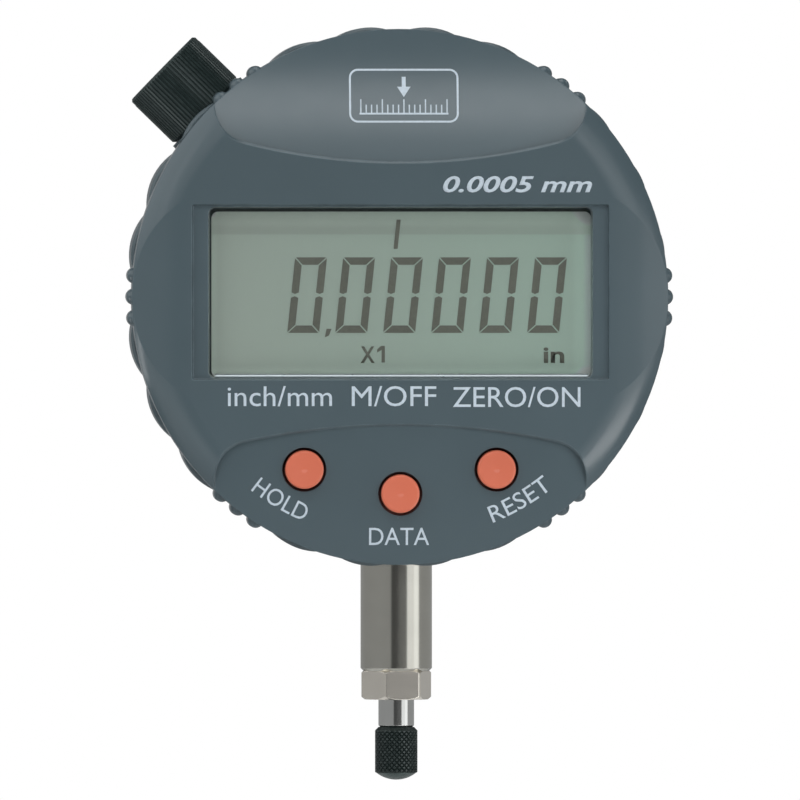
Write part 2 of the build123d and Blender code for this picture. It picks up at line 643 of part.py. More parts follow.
def contact_blades(end):
    """Row of flat blades that reach out to the given distance."""
    middles = [CONTACT_PITCH * (n - (CONTACT_COUNT - 1) / 2) for n in range(CONTACT_COUNT)]
    return [block(CONTACT_START, end, -0.75, 0.75, z - 0.3, z + 0.3) for z in middles]


def data_port_contacts():
    return Compound(contact_blades(PORT_FLOOR + 0.15))


# ---- battery chamber ----

def battery_contact():
    plate = Pos(0, 0, CELL_START - 0.2) * Cylinder(3.6, 0.3)
    return on_battery_axis(plate)


def battery_cells():
    cells = []
    for n in range(2):
        bottom = CELL_START + n * (CELL_THICKNESS + 0.02)
        top = bottom + CELL_THICKNESS
        cells.append(turned_z((0, bottom), (3.2, bottom), (3.2, bottom + 0.3), (CELL_RADIUS, bottom + 0.6),
                              (CELL_RADIUS, top - 0.2), (CELL_RADIUS - 0.2, top), (0, top)))
    return on_battery_axis(Compound(cells))


def battery_spring():
    return on_battery_axis(coil(2.6, 0.35, 24.62, 26.9, 2.5))


def battery_cap():
    """Screw cap with a straight knurl, a coin slot, a hollow threaded spigot and its seal's groove."""
    teeth = []
    for n in range(CAP_TEETH):
        for share, radius in ((0, CAP_RADIUS), (0.45, CAP_RADIUS), (0.6, CAP_ROOT), (0.85, CAP_ROOT)):
            angle = radians(360 * (n + share) / CAP_TEETH)
            teeth.append((radius * cos(angle), radius * sin(angle)))
    seat = CAP_SEAT + 0.05
    head = Pos(0, 0, seat) * extrude(make_face(Polyline(*teeth, close=True)), CAP_END - seat)
    head &= turned_z((0, seat), (CAP_RADIUS - 0.3, seat), (CAP_RADIUS + 0.05, seat + 0.35),
                     (CAP_RADIUS + 0.05, CAP_END - 0.3), (CAP_RADIUS - 0.25, CAP_END), (0, CAP_END))
    spigot = turned_z((3.4, THREAD_START + 0.2), (THREAD_RADIUS, THREAD_START + 0.2), (THREAD_RADIUS, 28.35),
                      (3.45, 28.35), (3.45, 29.25), (THREAD_RADIUS, 29.25), (THREAD_RADIUS, seat), (0, seat),
                      (0, 27.0), (3.4, 27.0))
    slot = Pos(0, 0, CAP_END) * Box(12, 1.2, 1.6)
    return on_battery_axis(head + spigot - slot)


def battery_cap_seal():
    return on_battery_axis(Pos(0, 0, 28.8) * Torus(3.87, 0.41))


def write(name, shape):
    lifted = Pos(0, 0, DIAL_HEIGHT) * shape
    lifted.label = name
    export_step(lifted, f"parts/{name}.step")


def main():
    os.makedirs("parts", exist_ok=True)
    nodes = {
        "rear_housing": rear_housing(),
        "back_cover": back_cover(),
        "back_cover_gasket": back_cover_gasket(),
        "back_cover_screws": back_cover_screws(),
        "friction_ring": friction_ring(),
        "stem": stem(),
        "stem_nut": stem_nut(),
        "spindle_seal": spindle_seal(),
        "lower_guide_bush": guide_bush(BUSH_BOTTOM, BUSH_TOP),
        "upper_guide_bush": guide_bush(GUIDE_BOTTOM, GUIDE_TOP),
        "guide_plate": guide_plate(),
        "guide_plate_screws": guide_plate_screws(),
        "stop_bumper": stop_bumper(),
        "return_spring": return_spring(),
        "sensor_board": sensor_board(),
        "sensor_board_screws": sensor_board_screws(),
        "sensor_components": sensor_components(),
        "reading_head": reading_head(),
        "flex_cable": flex_cable(),
        "data_port": data_port(),
        "data_port_contacts": data_port_contacts(),
        "battery_contact": battery_contact(),
        "front_bezel": front_bezel(),
        "head_base": head_base(),
        "head_screws": head_screws(),
        "head_retaining_ring": head_retaining_ring(),
        "head_stop_pin": head_stop_pin(),
        "window": window(),
        "lcd_glass": lcd_glass(),
        "lcd_frame": lcd_frame(),
        "zebra_strips": zebra_strips(),
        "main_board": main_board(),
        "board_components": board_components(),
        "tactile_switches": tactile_switches(),
        "button_seals": button_seals(),
        "spindle": spindle(),
        "contact_point": contact_point(),
        "contact_tip": contact_tip(),
        "stop_collar": stop_collar(),
        "anti_rotation_pin": anti_rotation_pin(),
        "scale_carrier": scale_carrier(),
        "glass_scale": glass_scale(),
        "battery_cells": battery_cells(),
        "battery_spring": battery_spring(),
        "battery_cap": battery_cap(),
        "battery_cap_seal": battery_cap_seal(),
    }
    for name, (x, z) in BUTTON_PLACES.items():
        nodes[f"button_{name}"] = button(x, z, BUTTON_FRONTS[name])
    for name, shape in nodes.items():
        write(name, shape)


main()
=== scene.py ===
from math import atan2, cos, pi, radians, sin

import bmesh
import bpy
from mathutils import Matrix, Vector
from mathutils.bvhtree import BVHTree


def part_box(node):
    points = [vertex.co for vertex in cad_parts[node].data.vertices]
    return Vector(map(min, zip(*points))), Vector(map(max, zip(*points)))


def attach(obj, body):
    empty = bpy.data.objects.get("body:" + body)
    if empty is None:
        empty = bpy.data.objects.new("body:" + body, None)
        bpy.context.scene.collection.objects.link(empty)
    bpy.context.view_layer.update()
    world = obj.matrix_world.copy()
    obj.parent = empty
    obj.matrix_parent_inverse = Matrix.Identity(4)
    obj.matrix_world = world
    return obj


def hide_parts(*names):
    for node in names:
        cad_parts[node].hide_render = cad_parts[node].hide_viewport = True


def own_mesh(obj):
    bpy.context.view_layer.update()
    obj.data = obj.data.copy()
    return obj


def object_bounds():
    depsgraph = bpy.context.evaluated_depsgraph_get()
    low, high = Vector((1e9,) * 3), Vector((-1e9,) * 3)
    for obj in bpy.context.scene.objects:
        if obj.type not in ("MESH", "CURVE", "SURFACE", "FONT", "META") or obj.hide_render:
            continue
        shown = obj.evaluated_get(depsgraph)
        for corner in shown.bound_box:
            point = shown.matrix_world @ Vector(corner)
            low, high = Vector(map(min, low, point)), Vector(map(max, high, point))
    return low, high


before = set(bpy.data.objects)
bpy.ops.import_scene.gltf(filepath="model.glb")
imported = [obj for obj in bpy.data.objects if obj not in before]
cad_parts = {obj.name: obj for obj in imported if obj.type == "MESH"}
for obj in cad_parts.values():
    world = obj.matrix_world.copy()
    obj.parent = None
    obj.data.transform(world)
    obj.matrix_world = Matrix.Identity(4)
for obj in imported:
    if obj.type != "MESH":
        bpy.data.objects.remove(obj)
CAD_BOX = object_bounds()
MM = 0.001

# ---- places taken from the CAD parts ----


def middle(node):
    low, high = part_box(node)
    return (low + high) / 2


DIAL = middle("head_base")
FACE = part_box("front_bezel")[0].y
LCD_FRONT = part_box("lcd_glass")[0].y
WINDOW_FRONT, WINDOW_BACK = (corner.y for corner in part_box("window"))
CAP = middle("battery_cap")
CAP_AXIS = (CAP - Vector((DIAL.x, CAP.y, DIAL.z))).normalized()
FLOOR_DROP = 80 * MM


# ---- shader helpers ----


class Shader:
    """A material or world with its node tree, and short ways to add and join nodes."""

    def __init__(self, name, world=None):
        self.owner = world or bpy.data.materials.new(name)
        self.owner.use_nodes = True
        self.tree = self.owner.node_tree
        self.tree.nodes.clear()

    def node(self, kind, **settings):
        made = self.tree.nodes.new("ShaderNode" + kind)
        for key, value in settings.items():
            setattr(made, key, value)
        return made

    def feed(self, socket, value):
        if isinstance(value, bpy.types.NodeSocket):
            self.tree.links.new(value, socket)
        else:
            socket.default_value = value

    def math(self, operation, *values):
        made = self.node("Math", operation=operation)
        for socket, value in zip(made.inputs, values):
            self.feed(socket, value)
        return made.outputs[0]

    def vector(self, operation, *values):
        made = self.node("VectorMath", operation=operation)
        for socket, value in zip(made.inputs, values):
            self.feed(socket, value)
        return made.outputs["Value" if operation in ("LENGTH", "DOT_PRODUCT") else "Vector"]

    def split(self, vector):
        """The X, Y and Z of a vector."""
        made = self.node("SeparateXYZ")
        self.feed(made.inputs[0], vector)
        return made.outputs["X"], made.outputs["Y"], made.outputs["Z"]

    def ramp(self, value, low, high, to_low=0.0, to_high=1.0, smooth=True):
        made = self.node("MapRange", interpolation_type="SMOOTHSTEP" if smooth else "LINEAR")
        for name, entry in (("Value", value), ("From Min", low), ("From Max", high),
                            ("To Min", to_low), ("To Max", to_high)):
            self.feed(made.inputs[name], entry)
        return made.outputs["Result"]

    def mix(self, factor, first, second):
        """Blend two colours."""
        made = self.node("Mix", data_type="RGBA")
        self.feed(made.inputs[0], factor)
        self.feed(made.inputs[6], first)
        self.feed(made.inputs[7], second)
        return made.outputs[2]

    def mix_shaders(self, factor, first, second):
        made = self.node("MixShader")
        self.feed(made.inputs[0], factor)
        self.tree.links.new(first, made.inputs[1])
        self.tree.links.new(second, made.inputs[2])
        return made.outputs[0]

    def noise(self, vector, scale, detail=2.0, roughness=0.5):
        made = self.node("TexNoise")
        self.feed(made.inputs["Vector"], vector)
        made.inputs["Scale"].default_value = scale
        made.inputs["Detail"].default_value = detail
        made.inputs["Roughness"].default_value = roughness
        return made.outputs["Fac"]

    def waves(self, vector, direction, scale, distortion=0.0):
        made = self.node("TexWave", wave_type="BANDS", bands_direction=direction)
        self.feed(made.inputs["Vector"], vector)
        made.inputs["Scale"].default_value = scale
        made.inputs["Distortion"].default_value = distortion
        return made.outputs["Fac"]

    def place(self):
        return self.node("TexCoord").outputs["Object"]

    def bump(self, height, distance, normal=None):
        made = self.node("Bump")
        made.inputs["Strength"].default_value = 1.0
        made.inputs["Distance"].default_value = distance
        self.feed(made.inputs["Height"], height)
        if normal is not None:
            self.feed(made.inputs["Normal"], normal)
        return made.outputs["Normal"]

    def soft_edges(self, radius):
        made = self.node("Bevel", samples=4)
        made.inputs["Radius"].default_value = radius
        return made.outputs["Normal"]

    def edge_mask(self, radius):
        """1 on an edge, 0 on open faces; it marks worn edges and the painted highlight on them."""
        rounded = self.soft_edges(radius)
        flat = self.node("NewGeometry").outputs["Normal"]
        return self.ramp(self.vector("DOT_PRODUCT", rounded, flat), 0.995, 0.9)

    def surface(self, **inputs):
        """Finish with one principled surface."""
        made = self.node("BsdfPrincipled")
        for key, value in inputs.items():
            self.feed(made.inputs[key.replace("_", " ")], value)
        return self.finish(made.outputs[0])

    def finish(self, shader):
        output = self.node("OutputMaterial")
        self.tree.links.new(shader, output.inputs["Surface"])
        return self.owner


def tint(colour, factor):
    """The colour made lighter or darker, with its alpha."""
    return tuple(min(1.0, part * factor) for part in colour) + (1.0,)


# ---- materials ----


def moulded_plastic(name, colour, roughness, grain=0.004, wear_and_highlight=0.35, edge=0.18):
    """Spark-eroded moulding: fine grain, slow colour drift, edges lightened as worn and as a painted
    highlight.
    """
    s = Shader(name)
    place = s.place()
    drift = s.noise(place, 90.0, 3.0)
    fine = s.noise(place, 5200.0, 2.0, 0.6)
    smudge = s.noise(place, 420.0, 4.0, 0.65)
    base = s.mix(drift, tint(colour, 0.93), tint(colour, 1.07))
    # Edges lightened: worn, and on the bezel also a painted highlight along the scoop's lip.
    rubbed_and_highlit = s.math("MULTIPLY", s.edge_mask(edge * MM), wear_and_highlight)
    rubbed_and_highlit = s.math("MULTIPLY", rubbed_and_highlit, s.ramp(smudge, 0.35, 0.65))
    base = s.mix(rubbed_and_highlit, base, tint(colour, 2.2))
    rough = s.math("ADD", roughness - 0.05, s.math("MULTIPLY", smudge, 0.10))
    normal = s.bump(fine, grain * MM, s.soft_edges(edge * MM))
    return s.surface(Base_Color=base, Roughness=rough, Normal=normal, Specular_IOR_Level=0.5)


def turned_steel(name, colour, roughness, lines=0.5, pitch=14000.0, edge=0.12):
    """Steel with fine turning or grinding lines around the Z axis."""
    s = Shader(name)
    place = s.place()
    flat = s.node("Mapping")
    flat.inputs["Scale"].default_value = (0.02, 0.02, 1.0)
    s.feed(flat.inputs["Vector"], place)
    line = s.noise(flat.outputs[0], pitch, 3.0, 0.7)
    cloud = s.noise(place, 350.0, 3.0)
    base = s.mix(cloud, tint(colour, 0.92), tint(colour, 1.06))
    base = s.mix(s.math("MULTIPLY", line, 0.35 * lines), base, tint(colour, 0.7))
    rough = s.math("ADD", roughness, s.math("MULTIPLY", line, 0.16 * lines))
    normal = s.bump(line, 0.0012 * lines * MM, s.soft_edges(edge * MM))
    return s.surface(Base_Color=base, Metallic=1.0, Roughness=rough, Normal=normal)


def plated_metal(name, colour, roughness, grain=0.003):
    """Plated or drawn metal with a cloudy sheen."""
    s = Shader(name)
    place = s.place()
    cloud = s.noise(place, 900.0, 4.0)
    base = s.mix(cloud, tint(colour, 0.85), tint(colour, 1.08))
    rough = s.math("ADD", roughness, s.math("MULTIPLY", cloud, 0.15))
    normal = s.bump(s.noise(place, 6000.0), grain * MM, s.soft_edges(0.08 * MM))
    return s.surface(Base_Color=base, Metallic=1.0, Roughness=rough, Normal=normal)


def knurled_black(name, root, crest, radii, axis, point, roughness):
    """Blackened knurling with glossier, worn crests; radii (root, crest) are in mm from the axis."""
    s = Shader(name)
    place = s.place()
    offset = s.vector("SUBTRACT", place, tuple(point))
    radius = s.vector("LENGTH", s.vector("CROSS_PRODUCT", offset, tuple(axis)))
    height = s.ramp(radius, radii[0] * MM, radii[1] * MM)
    patch = s.noise(place, 1300.0, 4.0, 0.7)
    worn = s.math("MULTIPLY", s.math("POWER", height, 2.0), s.ramp(patch, 0.35, 0.7))
    base = s.mix(worn, tint(root, 1.0), tint(crest, 1.0))
    rough = s.ramp(height, 0.0, 1.0, *roughness)
    rough = s.math("ADD", rough, s.math("MULTIPLY", patch, 0.08))
    normal = s.bump(s.noise(place, 7000.0), 0.002 * MM)
    return s.surface(Base_Color=base, Roughness=rough, Normal=normal, Metallic=0.25)


def ink_and_painted_shade(name, colour):
    """Pad-printed ink, a little uneven; also the window's dark border, which is painted shade."""
    s = Shader(name)
    thin = s.noise(s.place(), 2600.0, 3.0, 0.7)
    base = s.mix(s.ramp(thin, 0.25, 0.75), tint(colour, 0.88), tint(colour, 1.04))
    return s.surface(Base_Color=base, Roughness=0.5, Normal=s.bump(thin, 0.004 * MM))


def rubber(name, colour):
    """Dull mottled rubber."""
    s = Shader(name)
    mottle = s.noise(s.place(), 1500.0, 4.0)
    base = s.mix(mottle, tint(colour, 0.8), tint(colour, 1.25))
    return s.surface(Base_Color=base, Roughness=0.72, Normal=s.bump(mottle, 0.01 * MM))


LCD_LEFT = (0.592, 0.633, 0.582, 1.0)
LCD_RIGHT = (0.548, 0.664, 0.592, 1.0)
# Next three: painted shadow along the top of the display, where the window's top wall casts shade.
LCD_PAINTED_SHADE = (0.43, 0.44, 0.41, 1.0)
LCD_HALF_WIDTH = 22.0
LCD_PAINTED_SHADE_EDGE = (6.85, 7.05)
LCD_PAINTED_SHADE_SHARE = 0.42
LCD_BRIGHTEST = (0.93, 0.93, 0.93)


def display_face():
    """Reflective display glass: grey-green, with a painted shadow along the top and painted light near the
    window's edges.
    """
    s = Shader("display_face")
    place = s.place()
    x, _, z = s.split(place)
    x = s.math("DIVIDE", s.math("SUBTRACT", x, DIAL.x), MM)
    z = s.math("DIVIDE", s.math("SUBTRACT", z, DIAL.z), MM)
    base = s.mix(s.ramp(x, -LCD_HALF_WIDTH, LCD_HALF_WIDTH, smooth=False), LCD_LEFT, LCD_RIGHT)
    # Painted shadow: darker and greyer above z = 7 mm.
    painted_shade = s.math("MULTIPLY", s.ramp(z, *LCD_PAINTED_SHADE_EDGE), LCD_PAINTED_SHADE_SHARE)
    base = s.mix(painted_shade, base, LCD_PAINTED_SHADE)
    grain = s.noise(place, 9000.0, 2.0)
    grain_and_painted_light = s.ramp(grain, 0.0, 1.0, 0.97, 1.03)
    # Painted light: the colour rises towards each edge of the window, lifting the shade that the recess walls
    # cast there.
    for across, start, full, gain in ((x, 18.8, 21.2, 1.55), (x, -20.0, -21.0, 1.2),
                                      (z, 7.4, 9.4, 1.6), (z, -7.4, -8.8, 1.35)):
        grain_and_painted_light = s.math("MULTIPLY", grain_and_painted_light, s.ramp(across, start, full, 1.0, gain))
    bright = s.node("VectorMath", operation="SCALE")
    s.feed(bright.inputs[0], base)
    s.feed(bright.inputs["Scale"], grain_and_painted_light)
    base = s.vector("MINIMUM", bright.outputs[0], LCD_BRIGHTEST)
    return s.surface(Base_Color=base, Roughness=0.6, Normal=s.bump(grain, 0.001 * MM), Specular_IOR_Level=0.1)


def clear_pane():
    """Clear window: see-through, with a thin reflection, and shadows that stay light."""
    s = Shader("clear_pane")
    clear = s.node("BsdfTransparent")
    clear.inputs[0].default_value = (0.965, 0.985, 0.975, 1.0)
    gloss = s.node("BsdfGlossy")
    gloss.inputs["Roughness"].default_value = 0.06
    dust = s.noise(s.place(), 700.0, 4.0)
    s.feed(gloss.inputs["Normal"], s.bump(dust, 0.002 * MM))
    fresnel = s.node("Fresnel")
    fresnel.inputs["IOR"].default_value = 1.45
    share = s.math("MULTIPLY", fresnel.outputs[0], 0.8)
    return s.finish(s.mix_shaders(share, clear.outputs[0], gloss.outputs[0]))


def circuit_board():
    """Green board with its glass weave."""
    s = Shader("circuit_board")
    weave = s.waves(s.place(), "DIAGONAL", 800.0, 3.0)
    base = s.mix(weave, (0.012, 0.10, 0.045, 1.0), (0.02, 0.15, 0.07, 1.0))
    return s.surface(Base_Color=base, Roughness=0.35, Normal=s.bump(weave, 0.01 * MM))


def ribbon_film():
    """Amber film over copper tracks."""
    s = Shader("ribbon_film_amber")
    tracks = s.waves(s.place(), "Z", 600.0)
    base = s.mix(tracks, (0.42, 0.17, 0.02, 1.0), (0.60, 0.30, 0.06, 1.0))
    return s.surface(Base_Color=base, Roughness=0.3, Normal=s.bump(tracks, 0.01 * MM))


SHELL = (0.074, 0.104, 0.119)
MATERIALS = {
    # The bezel's lightened edges are a painted highlight along the scoop's lip as well as worn edges.
    "bezel": moulded_plastic("bezel_plastic_grey", SHELL, 0.25, wear_and_highlight=0.6),
    "housing": moulded_plastic("housing_plastic_grey", tint(SHELL, 0.85)[:3], 0.34, grain=0.006),
    "cover": moulded_plastic("cover_plastic_grey", tint(SHELL, 0.80)[:3], 0.5, grain=0.014),
    "inner": moulded_plastic("inner_plastic_black", (0.02, 0.021, 0.023), 0.5, wear_and_highlight=0.1),
    "button": moulded_plastic("button_plastic_orange", (0.655, 0.158, 0.088), 0.34, grain=0.003, wear_and_highlight=0.12,
                              edge=0.06),
    "stem": turned_steel("stem_ground_steel", (0.58, 0.565, 0.51), 0.11, 0.5),
    "nut": turned_steel("nut_milled_steel", (0.95, 0.89, 0.80), 0.12, 0.6, 9000.0),
    "spindle": turned_steel("spindle_polished_steel", (0.66, 0.66, 0.64), 0.10, 0.25),
    "tip": turned_steel("tip_lapped_carbide", (0.10, 0.13, 0.125), 0.3, 0.2),
    "screw": plated_metal("screw_zinc_steel", (0.42, 0.42, 0.43), 0.28),
    "spring": plated_metal("spring_drawn_steel", (0.50, 0.50, 0.49), 0.25),
    "bronze": plated_metal("bush_sintered_bronze", (0.55, 0.34, 0.14), 0.35, 0.01),
    "gold": plated_metal("contact_gold", (0.83, 0.60, 0.24), 0.2),
    "aluminium": plated_metal("carrier_milled_aluminium", (0.72, 0.72, 0.73), 0.3),
    "pane_edge": plated_metal("pane_edge_polished", (0.31, 0.35, 0.36), 0.22, 0.001),
    "rubber": rubber("seal_black_rubber", (0.018, 0.018, 0.02)),
    # The seals' red-brown is painted reflection: orange light from the buttons bounced into the dark ring
    # round each.
    "button_seal_painted_bounce": rubber("button_seal_painted_bounce_rubber", (0.085, 0.022, 0.016)),
    "lcd": display_face(),
    "pane": clear_pane(),
    "board": circuit_board(),
    "ribbon": ribbon_film(),
    "label": ink_and_painted_shade("label_ink_pale", (0.56, 0.64, 0.71)),
    "segment": ink_and_painted_shade("display_segment_dark", (0.215, 0.205, 0.175)),
    # Dark border: painted shade along the window's walls.
    "border": ink_and_painted_shade("border_painted_shade", (0.030, 0.042, 0.042)),
    "cap": knurled_black("cap_knurled_black", (0.016, 0.029, 0.028), (0.030, 0.048, 0.046),
                         (4.98, 5.1), CAP_AXIS, CAP, (0.5, 0.28)),
    "contact": knurled_black("contact_knurled_black", (0.008, 0.016, 0.015), (0.055, 0.070, 0.068),
                             (2.30, 2.40), (0, 0, 1), (0, 0, 0), (0.45, 0.3)),
}
FINISHES = {
    "bezel": ["front_bezel"],
    "housing": ["rear_housing"],
    "cover": ["back_cover"],
    "inner": ["data_port", "reading_head", "sensor_components", "head_base", "lcd_frame", "board_components",
              "tactile_switches"],
    "button": ["button_hold", "button_data", "button_reset"],
    "stem": ["stem"],
    "nut": ["stem_nut"],
    "spindle": ["spindle", "stop_collar", "anti_rotation_pin"],
    "tip": ["contact_tip"],
    "screw": ["back_cover_screws", "head_screws", "guide_plate_screws", "sensor_board_screws"],
    "spring": ["return_spring", "battery_spring", "guide_plate", "head_retaining_ring", "head_stop_pin",
               "battery_cells"],
    "bronze": ["lower_guide_bush", "upper_guide_bush"],
    "gold": ["data_port_contacts", "battery_contact"],
    "aluminium": ["scale_carrier"],
    "rubber": ["back_cover_gasket", "friction_ring", "spindle_seal", "stop_bumper", "zebra_strips",
               "battery_cap_seal"],
    "button_seal_painted_bounce": ["button_seals"],
    "lcd": ["lcd_glass"],
    "pane": ["window", "glass_scale"],
    "board": ["main_board", "sensor_board"],
    "ribbon": ["flex_cable"],
    "cap": ["battery_cap"],
}


def finish_nodes():
    """Give every CAD node its material."""
    for finish, members in FINISHES.items():
        for member in members:
            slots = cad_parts[member].data.materials
            if not slots:
                slots.append(None)
            for index in range(len(slots)):
                slots[index] = MATERIALS[finish]


# ---- making pieces ----


def add_piece(name, mesh, finish, body):
    mesh.materials.append(MATERIALS[finish])
    piece = bpy.data.objects.new(name, mesh)
    bpy.context.scene.collection.objects.link(piece)
    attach(piece, body)
    return piece


def piece_from_points(name, points, faces, finish, body):
    mesh = bpy.data.meshes.new(name)
    mesh.from_pydata([tuple(point) for point in points], [], faces)
    mesh.validate()
    mesh.update()
    piece = add_piece(name, mesh, finish, body)
    return piece


def sheet_on_head(name, bm, ink):
    """Lay print, and the window border's painted shade, on the head; neither has a slot of its own in the
    record.
    """
    mesh = bpy.data.meshes.new(name)
    bm.to_mesh(mesh)
    bm.free()
    add_piece(name, mesh, ink, "head")


def skin_faces(rings):
    """Closed skin over rings of equally many points, anticlockwise as seen from the last ring's side."""
    faces = [tuple(reversed(rings[0]))]
    for lower, upper in zip(rings, rings[1:]):
        for i in range(len(lower)):
            k = (i + 1) % len(lower)
            faces.append((lower[i], lower[k], upper[k], upper[i]))
    faces.append(tuple(rings[-1]))
    return faces


# ---- knurled contact ----

CONTACT_BODY = 5.1 * MM
CONTACT_BORE = 1.2 * MM
CONTACT_STUD = 1.25 * MM
STUD_POINT = 0.05 * MM
NECK_RADIUS = 2.0 * MM
FOOT_CHAMFER = 0.1 * MM
FOOT_RISE = 0.08 * MM
KNURL_SPACE = 0.48 * MM
KNURL_INSET = 0.02 * MM
KNURL_DEPTH = 0.14 * MM
KNURL_SHARPNESS = 2.2
KNURL_STARTS = 26
COLLAR_DROP = 0.38 * MM
COLLAR_INSET = 0.03 * MM


def knurled_contact():
    """Contact body with a diamond knurl, between a chamfered shoulder and a plain lower edge."""
    low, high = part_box("contact_point")
    body_radius = (high.x - low.x) / 2
    bottom, shoulder = low.z, low.z + CONTACT_BODY
    bore_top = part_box("contact_tip")[1].z
    across, along = 300, 130
    lead = 2 * pi * body_radius / KNURL_STARTS
    points, rings = [], []

    def ring(height, radius_at):
        rings.append(range(len(points), len(points) + across))
        for i in range(across):
            angle = 2 * pi * i / across
            radius = radius_at(angle)
            points.append((radius * cos(angle), radius * sin(angle), height))

    def knurl(angle, height):
        turns = KNURL_STARTS * angle / (2 * pi)
        climb = (height - bottom) / lead
        groove_a = abs(((turns + climb) % 1.0) - 0.5) * 2
        groove_b = abs(((turns - climb) % 1.0) - 0.5) * 2
        fade = min(1.0, (height - bottom) / (0.25 * MM), (shoulder - 0.4 * MM - height) / (0.1 * MM))
        cut = max(0.0, 1 - KNURL_SHARPNESS * min(groove_a, groove_b))
        return body_radius - KNURL_INSET - KNURL_DEPTH * max(0.0, fade) * cut

    ring(bore_top, lambda angle: CONTACT_BORE)
    ring(bottom, lambda angle: CONTACT_BORE)
    ring(bottom, lambda angle: body_radius - FOOT_CHAMFER)
    for j in range(along + 1):
        height = bottom + FOOT_RISE + (shoulder - KNURL_SPACE - bottom) * j / along
        ring(height, lambda angle: knurl(angle, height))
    ring(shoulder - COLLAR_DROP, lambda angle: body_radius - COLLAR_INSET)
    ring(shoulder, lambda angle: NECK_RADIUS)
    ring(shoulder, lambda angle: CONTACT_STUD)
    ring(high.z, lambda angle: CONTACT_STUD)
    ring(high.z, lambda angle: STUD_POINT)
    skin = skin_faces(rings)
    piece = piece_from_points("contact_knurl", points, skin, "contact", "spindle")
    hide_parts("contact_point")


# ---- return spring ----

SPRING_WIRE = 0.5 * MM
SPRING_TURNS = 6


def return_spring():
    """Round-wire spring."""
    low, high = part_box("return_spring")
    steps, around = 40, 12
    radius = (high.x - low.x - SPRING_WIRE) / 2
    rise = high.z - low.z - SPRING_WIRE
    slope = atan2(rise, 2 * pi * radius * SPRING_TURNS)
    points = []
    for i in range(SPRING_TURNS * steps + 1):
        angle = 2 * pi * i / steps
        outward = Vector((cos(angle), sin(angle), 0))
        downward = Vector((-sin(angle) * sin(slope), cos(angle) * sin(slope), -cos(slope)))
        centre = outward * radius
        centre.z = low.z + SPRING_WIRE / 2 + rise * i / (SPRING_TURNS * steps)
        for j in range(around):
            turn = 2 * pi * j / around
            points.append(centre + (outward * cos(turn) + downward * sin(turn)) * SPRING_WIRE / 2)
    rings = [range(start, start + around) for start in range(0, len(points), around)]
    skin = skin_faces(rings)
    piece = piece_from_points("return_spring_wire", points, skin, "spring", "housing")
    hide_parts("return_spring")
    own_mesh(piece)


# ---- flat drawings, in mm ----


def bar(x0, y0, x1, y1):
    return [(x0, y0), (x1, y0), (x1, y1), (x0, y1)]


def shifted(outline, x, y):
    return [(x + u, y + v) for u, v in outline]


def rounded_loop(left, right, bottom, top, radius):
    loop = []
    corners = [(right - radius, top - radius), (left + radius, top - radius),
               (left + radius, bottom + radius), (right - radius, bottom + radius)]
    for quarter, (x, y) in enumerate(corners):
        for step in range(9):
            angle = pi / 2 * (quarter + step / 8)
            loop.append((x + radius * cos(angle), y + radius * sin(angle)))
    return loop


def band_between(outer, inner):
    """Quads between two loops of equally many points."""
    count = len(outer)
    return [[outer[i], outer[(i + 1) % count], inner[(i + 1) % count], inner[i]] for i in range(count)]


def polygons(outlines):
    """A mesh of separate flat faces, in metres."""
    bm = bmesh.new()
    for outline in outlines:
        bm.faces.new([bm.verts.new((x * MM, y * MM, 0)) for x, y in outline])
    bmesh.ops.triangulate(bm, faces=bm.faces[:])
    return bm


FONT_CAP_HEIGHT = 0.729


def text_faces(text, width, height, shear=0.0, bold=0.0):
    """A mesh of one line of text, centred, with the given overall width and cap height, in mm."""
    curve = bpy.data.curves.new("text_outline", "FONT")
    curve.body = text
    curve.shear = shear
    curve.offset = bold
    curve.resolution_u = 4
    holder = bpy.data.objects.new("text_outline", curve)
    bpy.context.scene.collection.objects.link(holder)
    bpy.context.view_layer.update()
    mesh = bpy.data.meshes.new_from_object(holder.evaluated_get(bpy.context.evaluated_depsgraph_get()))
    bpy.data.objects.remove(holder)
    bpy.data.curves.remove(curve)
    bm = bmesh.new()
    bm.from_mesh(mesh)
    bpy.data.meshes.remove(mesh)
    bmesh.ops.remove_doubles(bm, verts=bm.verts[:], dist=1e-5)
    left = min(v.co.x for v in bm.verts)
    span = max(v.co.x for v in bm.verts) - left
    for v in bm.verts:
        v.co.x = (v.co.x - left - span / 2) / span * width * MM
        v.co.y = (v.co.y / FONT_CAP_HEIGHT - 0.5) * height * MM
        v.co.z = 0
    return bm


def thickened(bm):
    """Give a flat mesh a second side, and return that side's points."""
    made = bmesh.ops.extrude_face_region(bm, geom=bm.faces[:])
    return {item for item in made["geom"] if isinstance(item, bmesh.types.BMVert)}


def turn_outward(bm):
    """Turn the faces of a closed mesh outward."""
    bmesh.ops.recalc_face_normals(bm, faces=bm.faces[:])
    if bm.calc_volume(signed=True) < 0:
        bmesh.ops.reverse_faces(bm, faces=bm.faces[:])


# ---- print on the bezel ----

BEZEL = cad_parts["front_bezel"].data
BEZEL_TREE = BVHTree.FromPolygons([v.co.copy() for v in BEZEL.vertices],
                                  [tuple(face.vertices) for face in BEZEL.polygons])
RAY_START = 10 * MM
PRINT_THICKNESS = 0.03 * MM
PRINT_FACET = 0.5 * MM
SLIVER = 0.001 * MM


def face_depth(x, z):
    """Depth of the bezel's front there."""
    hit = BEZEL_TREE.ray_cast(Vector((x, FACE - RAY_START, z)), Vector((0, 1, 0)))[0]
    return hit.y if hit else FACE


